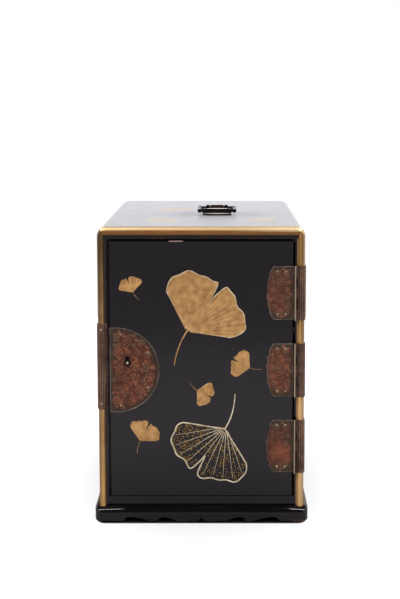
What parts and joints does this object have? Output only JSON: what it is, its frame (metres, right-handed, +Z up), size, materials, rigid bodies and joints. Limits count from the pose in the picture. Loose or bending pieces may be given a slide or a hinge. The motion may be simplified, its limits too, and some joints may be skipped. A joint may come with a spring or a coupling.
{
  "type": "table cabinet",
  "caption": "Upright black-lacquered table cabinet with a hinged, locking door, shelves inside, a gilt bead, copper fittings, a cusped base and a folding bail handle on top.",
  "frame": {"origin": "centre of the base's underside, on the surface that the cabinet stands on", "axes": "+Z up, the door faces -Y, +X to the right seen from the front, where the hinges are"},
  "size_m": [0.292, 0.362, 0.4194],
  "materials": {
    "black_lacquer": "polished black lacquer on joined softwood boards",
    "gilt_lacquer": "gold powder lacquer on a round wooden bead, a little worn",
    "sprinkled_lacquer": "brown-black lacquer sprinkled with gold flakes",
    "bare_wood": "planed softwood",
    "patinated_copper": "engraved copper sheet with a red-brown patina and worn rims",
    "dark_bronze": "dark patinated bronze, bright on the worn edges",
    "lock_iron": "filed iron sheet"
  },
  "bodies": {
    "carcass": {"base_front_rail": "black_lacquer", "base_back_rail": "black_lacquer", "base_left_rail": "black_lacquer", "base_right_rail": "black_lacquer", "base_glue_blocks": "bare_wood", "left_cove": "black_lacquer", "right_cove": "black_lacquer", "lower_shelf": "sprinkled_lacquer", "upper_shelf": "sprinkled_lacquer", "back_panel": "black_lacquer", "bottom_board": "black_lacquer", "top_board": "black_lacquer", "right_side": "black_lacquer", "left_side": "black_lacquer", "bolt_keeper": "lock_iron", "top_bead": "gilt_lacquer", "left_bead": "gilt_lacquer", "right_bead": "gilt_lacquer", "left_door_stop": "sprinkled_lacquer", "top_door_stop": "sprinkled_lacquer", "strike_plate": "patinated_copper", "strike_nails": "patinated_copper", "frame_leaf_nails": "patinated_copper", "left_eye_pin": "dark_bronze", "right_eye_pin": "dark_bronze", "left_rosette": "dark_bronze", "right_rosette": "dark_bronze", "upper_hinge_frame_leaf": "patinated_copper", "upper_hinge_pin": "patinated_copper", "middle_hinge_frame_leaf": "patinated_copper", "middle_hinge_pin": "patinated_copper", "lower_hinge_frame_leaf": "patinated_copper", "lower_hinge_pin": "patinated_copper"},
    "door": {"door_panel": "black_lacquer", "lock_plate": "patinated_copper", "lock_plate_nails": "patinated_copper", "door_leaf_nails": "patinated_copper", "lock_case": "lock_iron", "lock_cover": "lock_iron", "lock_screws": "lock_iron", "key_post": "lock_iron", "upper_hinge_door_leaf": "patinated_copper", "middle_hinge_door_leaf": "patinated_copper", "lower_hinge_door_leaf": "patinated_copper"},
    "bolt": {"lock_bolt": "lock_iron", "bolt_spring": "lock_iron"},
    "bail": {"bail_handle": "dark_bronze"}
  },
  "joints": [
    {"name": "door_swing", "type": "hinge", "parent": "carcass", "child": "door", "pos_m": [0.1277, -0.175, 0.21145], "axis": [0, 0, 1], "range_deg": [0, 170]},
    {"name": "bolt_throw", "type": "slide", "parent": "door", "child": "bolt", "axis": [-1, 0, 0], "range_m": [0, 0.007]},
    {"name": "bail_swing", "type": "hinge", "parent": "carcass", "child": "bail", "pos_m": [0.021, 0, 0.415], "axis": [-1, 0, 0], "range_deg": [0, 180]}
  ]
}
